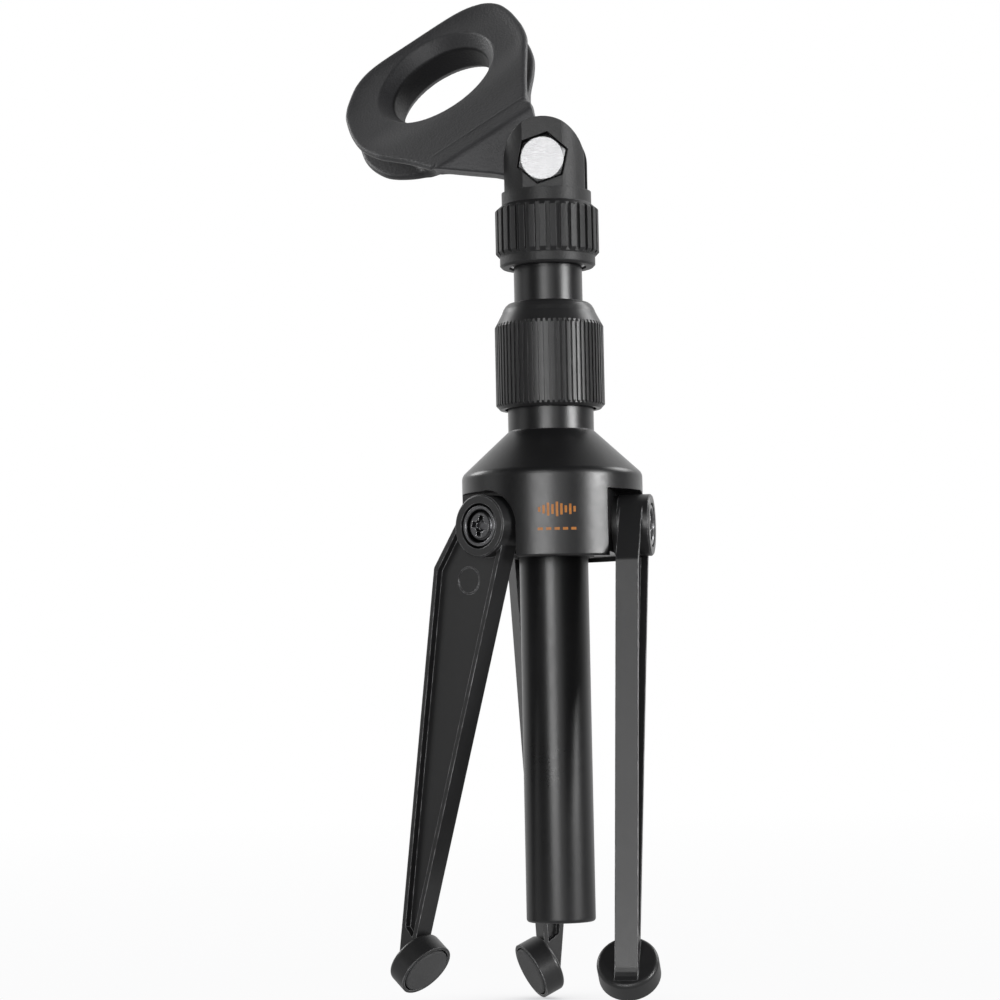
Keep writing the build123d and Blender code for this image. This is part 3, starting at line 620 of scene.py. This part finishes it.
def clip_field(x, y, z):
    offset = (x - CLIP_CENTRE[0], y - CLIP_CENTRE[1], z - CLIP_CENTRE[2])

    def along(axis):
        return offset[0] * axis[0] + offset[1] * axis[1] + offset[2] * axis[2]

    right, up, depth = along(CLIP_RIGHT), along(CLIP_UP), -along(CLIP_NORMAL)
    radius = np.sqrt(right * right + up * up)
    from_bolt = np.sqrt(x * x + (z - BOLT_Z) ** 2)
    front_edge = front_outline(right, up)

    ring = clip_ring(x, z, right, up, depth, radius, front_edge)
    tongue = clip_tongue(x, y, z, depth, from_bolt)
    # the crease between them is sharp in front and widens to a fillet towards the rear
    crease = 0.02 + 3.2 * np.clip((y + 0.5) / 4.0, 0, 1)
    clip = smooth_min(ring, tongue, crease)
    clip = smooth_max(clip, (face_dish(front_edge, up) - depth) * 0.9, blend=0.25)

    # fine raised parting line
    seam = np.maximum(np.abs(y - SEAM_Y) - SEAM_HALF, clip - SEAM_HEIGHT)
    clip = smooth_min(clip, np.maximum(seam, -(x - SEAM_LEFT)), blend=0.1)

    # bore with conical mouths, then the bolt hole
    front_mouth = BORE_RADIUS + 2.45 * np.clip((3.9 - depth) / 2.75, 0, 3.0)
    rear_mouth = BORE_RADIUS + np.clip(depth - (CLIP_DEPTH - 1.7), 0, 4) * 0.8
    bore = radius - np.maximum(front_mouth, rear_mouth)
    clip = smooth_max(clip, -bore * 0.75, blend=0.16)
    return smooth_max(clip, BOLT_HOLE_RADIUS - from_bolt, blend=0.3)


clip_points, clip_quads = surface(
    clip_field, low=(-54.5, -5.2, 168.8), high=(7.8, 45.8, 225.8),
    cell=0.36)
clip = mesh_object("mic_clip_moulding", clip_points, clip_quads, clip_rubber)
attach(clip, "mic_clip")
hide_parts("mic_clip")

# ------------------------------------------------------------------ printed mark on the hub
# Azimuths in degrees, heights and radii in mm
HUB_RADIUS = 21.0
PRINT_OUTER, PRINT_INNER = HUB_RADIUS + 0.03, HUB_RADIUS - 0.02
PRINT_STEPS = 6
BAR_HEIGHTS = (1.1, 1.9, 2.9, 2.2, 3.3, 2.5, 1.6, 2.4, 1.3)
BAR_START, BAR_PITCH, BAR_WIDTH, BAR_Z = -4.2, 2.75, 1.5, 94.0
DASH_COUNT = 5
DASH_START, DASH_PITCH, DASH_WIDTH = -4.6, 5.2, 3.2
DASH_BOTTOM, DASH_TOP = 89.3, 89.9


def orange_print():
    ink = Material("orange_print")
    patches = ink.remap(ink.noise(900.0, detail=4.0, rough=0.6), (0.35, 0.7), (0, 1))
    ink.set("Base Color", ink.mix(patches, (0.42, 0.15, 0.014), (0.30, 0.10, 0.010)))
    ink.set("Roughness", ink.remap(ink.noise(1500.0), (0.3, 0.7), (0.42, 0.55)))
    ink.set("Normal", ink.bump(ink.noise(1800.0), distance=0.00001, strength=0.4))
    return ink.material


def add_patch(bm, start, end, bottom, top):
    """A thin closed patch on the hub, from azimuth start to end."""
    sections = []
    for i in range(PRINT_STEPS + 1):
        t = i / PRINT_STEPS
        angle = math.radians(start * (1 - t) + end * t)
        sections.append([
            bm.verts.new((radius * math.sin(angle) * MM, -radius * math.cos(angle) * MM, z * MM))
            for radius in (PRINT_OUTER, PRINT_INNER) for z in (bottom, top)])
    for here, after in zip(sections, sections[1:]):
        for i, j in ((0, 1), (2, 3), (1, 3), (0, 2)):
            if (i, j) in ((0, 1), (1, 3)):
                ring = (here[i], after[i], after[j], here[j])
            else:
                ring = (here[i], here[j], after[j], after[i])
            if (i, j) == (0, 1):
                ring = (here[0], after[0], after[1], here[1])
            bm.faces.new(ring)
    first, last = sections[0], sections[-1]
    bm.faces.new((first[0], first[1], first[3], first[2]))
    bm.faces.new((last[0], last[2], last[3], last[1]))


def hub_mark():
    """A row of upright bars of uneven height over a row of short dashes."""
    material = orange_print()
    bm = bmesh.new()
    for i, height in enumerate(BAR_HEIGHTS):
        start = BAR_START + i * BAR_PITCH
        add_patch(bm, start, start + BAR_WIDTH, BAR_Z - height / 2, BAR_Z + height / 2)
    for i in range(DASH_COUNT):
        start = DASH_START + i * DASH_PITCH
        add_patch(bm, start, start + DASH_WIDTH, DASH_BOTTOM, DASH_TOP)
    bmesh.ops.recalc_face_normals(bm, faces=bm.faces)
    mesh = bpy.data.meshes.new("hub_printed_mark")
    bm.to_mesh(mesh)
    bm.free()
    mesh.materials.append(material)
    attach(add_object("hub_printed_mark", mesh), "hub")


hub_mark()


# ------------------------------------------------------------------ stage, in metres
def floor_material():
    """Pale floor with soft contact shadows near the feet, fading to white far away."""
    floor = Material("studio_floor")
    occlusion = floor.node("ShaderNodeAmbientOcclusion", {"Distance": 0.045}, samples=12)
    shade = floor.ramp(occlusion.outputs["AO"], [
        (0.0, (0.42, 0.42, 0.43)), (0.55, (0.80, 0.80, 0.81)),
        (0.9, (0.955, 0.955, 0.96)), (1.0, (0.965, 0.965, 0.968))])
    grain = floor.remap(floor.noise(600.0), (0.3, 0.7), (0.985, 1))
    from_centre = floor.vector_math("LENGTH", floor.object_coord())
    far = floor.remap(from_centre, (0.12, 1.1), (0, 1))
    shade = floor.mix(far, floor.mix(grain, (0.93, 0.93, 0.93), shade), (1.0, 1.0, 1.0))
    seen = floor.node("ShaderNodeEmission", {"Color": shade})

    # light the floor gives the object: stronger behind it and close to it
    position = floor.node("ShaderNodeNewGeometry").outputs["Position"]
    away = floor.vector_math("DOT_PRODUCT", position, AWAY)
    behind = floor.remap(away, (-0.1, 0.5), (0.10, 0.80))
    near = floor.remap(from_centre, (0.10, 0.50), (0.50, 0))
    unseen = floor.node("ShaderNodeEmission", {
        "Color": (1, 1, 1), "Strength": floor.math("MAXIMUM", behind, near)})
    mixed = floor.mix_shaders(floor.camera_ray(), unseen, seen)
    floor.feed(floor.tree.nodes["Material Output"].inputs["Surface"], mixed)
    return floor.material


def add_floor():
    material = floor_material()
    bm = bmesh.new()
    bmesh.ops.create_circle(bm, cap_ends=True, segments=96, radius=14.0)
    mesh = bpy.data.meshes.new("studio_floor")
    bm.to_mesh(mesh)
    bm.free()
    mesh.materials.append(material)
    floor = add_object("studio_floor", mesh)
    floor.location = (0, 0, cad_low.z - 0.0003)


def add_world():
    """Plain white to the camera; it lights from behind the object, dark in front."""
    world = bpy.data.worlds.new("studio")
    scene.world = world
    world.use_nodes = True
    world.node_tree.nodes.clear()
    graph = Graph(world.node_tree)
    away = graph.vector_math("DOT_PRODUCT", graph.coord.outputs["Generated"], AWAY)
    strength = graph.remap(away, (0.05, 0.75), (0.045, 0.95), interpolation_type="SMOOTHSTEP")
    seen = graph.node("ShaderNodeBackground", {"Color": (1, 1, 1), "Strength": 1.0})
    lighting = graph.node("ShaderNodeBackground", {"Color": (1, 1, 1), "Strength": strength})
    mixed = graph.mix_shaders(graph.camera_ray(), lighting, seen)
    graph.node("ShaderNodeOutputWorld", {"Surface": mixed})


add_floor()
add_world()


# ------------------------------------------------------------------ lights
def area_light(name, shape, size, power, location, facing):
    light = bpy.data.lights.new(name, "AREA")
    light.shape = shape
    light.size = size
    light.energy = power
    made = add_object(name, light)
    made.location = location
    made.rotation_mode = "QUATERNION"
    made.rotation_quaternion = facing.to_track_quat("-Z", "Y")
    return light


def softbox(name, turn, distance, bottom, top, width, power):
    """An upright rectangle facing the Z axis, turned from the camera's azimuth."""
    azimuth = math.radians(CAMERA_AZIMUTH + turn)
    location = Vector((distance * math.sin(azimuth), -distance * math.cos(azimuth),
                       (bottom + top) / 2))
    facing = Vector((-location.x, -location.y, 0))
    light = area_light(name, "RECTANGLE", width, power, location, facing)
    light.size_y = top - bottom


def panel(name, turn, elevation, distance, power, target=(0, 0, 0.13), size=0.40):
    """A square light above, turned towards the target."""
    azimuth, elevation = math.radians(CAMERA_AZIMUTH + turn), math.radians(elevation)
    location = Vector(target) + distance * Vector((
        math.sin(azimuth) * math.cos(elevation), -math.cos(azimuth) * math.cos(elevation),
        math.sin(elevation)))
    area_light(name, "SQUARE", size, power, location, Vector(target) - location)


# name, turn (degrees), distance, bottom, top, width, power (watts)
SOFTBOXES = (
    ("soft_front_low", -14, 1.2, -0.02, 0.27, 0.50, 5.0),
    ("soft_front_high", -14, 1.2, 0.42, 0.84, 0.50, 2.2),
    ("soft_front_fill", 8, 1.2, -0.02, 0.40, 0.50, 0.9),
    ("soft_right_low", 59, 1.0, 0.12, 0.27, 0.40, 6.4),
    ("soft_right_high", 59, 1.0, 0.27, 0.80, 0.40, 1.6),
    ("soft_left", -82, 1.0, -0.02, 0.7, 0.50, 0.9),
)
for entry in SOFTBOXES:
    softbox(*entry)
panel("soft_top_left", turn=-122, elevation=24, distance=1.1, power=3.8, target=(-0.02, 0, 0.2))
panel("soft_top_right", turn=116, elevation=34, distance=1.0, power=3.5)

# ------------------------------------------------------------------ camera
SENSOR_WIDTH = 36.0  # mm
FOCAL_LENGTH = 106.8948  # mm
CAMERA_DISTANCE = 690.0  # mm from the Z axis
CAMERA_HEIGHT = 51.38  # mm
YAW, PITCH, ROLL = 1.017, 3.84, -1.123  # degrees: to the left, upwards, anticlockwise


def add_camera():
    data = bpy.data.cameras.new("camera")
    data.sensor_width = SENSOR_WIDTH
    data.lens = FOCAL_LENGTH
    data.clip_start, data.clip_end = 0.01, 60.0
    camera = add_object("camera", data)
    scene.camera = camera
    azimuth = math.radians(CAMERA_AZIMUTH)
    camera.location = (CAMERA_DISTANCE * math.sin(azimuth) * MM,
                       -CAMERA_DISTANCE * math.cos(azimuth) * MM, CAMERA_HEIGHT * MM)

    heading = azimuth + math.radians(YAW)
    pitch, roll = math.radians(PITCH), math.radians(ROLL)
    level = Vector((-math.sin(heading), math.cos(heading), 0.0))
    right = Vector((math.cos(heading), math.sin(heading), 0.0))
    vertical = Vector((0, 0, 1))
    forward = level * math.cos(pitch) + vertical * math.sin(pitch)
    up = vertical * math.cos(pitch) - level * math.sin(pitch)
    rolled_right = right * math.cos(roll) + up * math.sin(roll)
    rolled_up = up * math.cos(roll) - right * math.sin(roll)
    camera.rotation_mode = "QUATERNION"
    turn = Matrix((rolled_right, rolled_up, -forward)).transposed()
    camera.rotation_quaternion = turn.to_quaternion()


add_camera()

scene.view_settings.view_transform = "Standard"
scene.view_settings.look = "None"
scene.view_settings.exposure = 0.0
scene.view_settings.gamma = 1.0
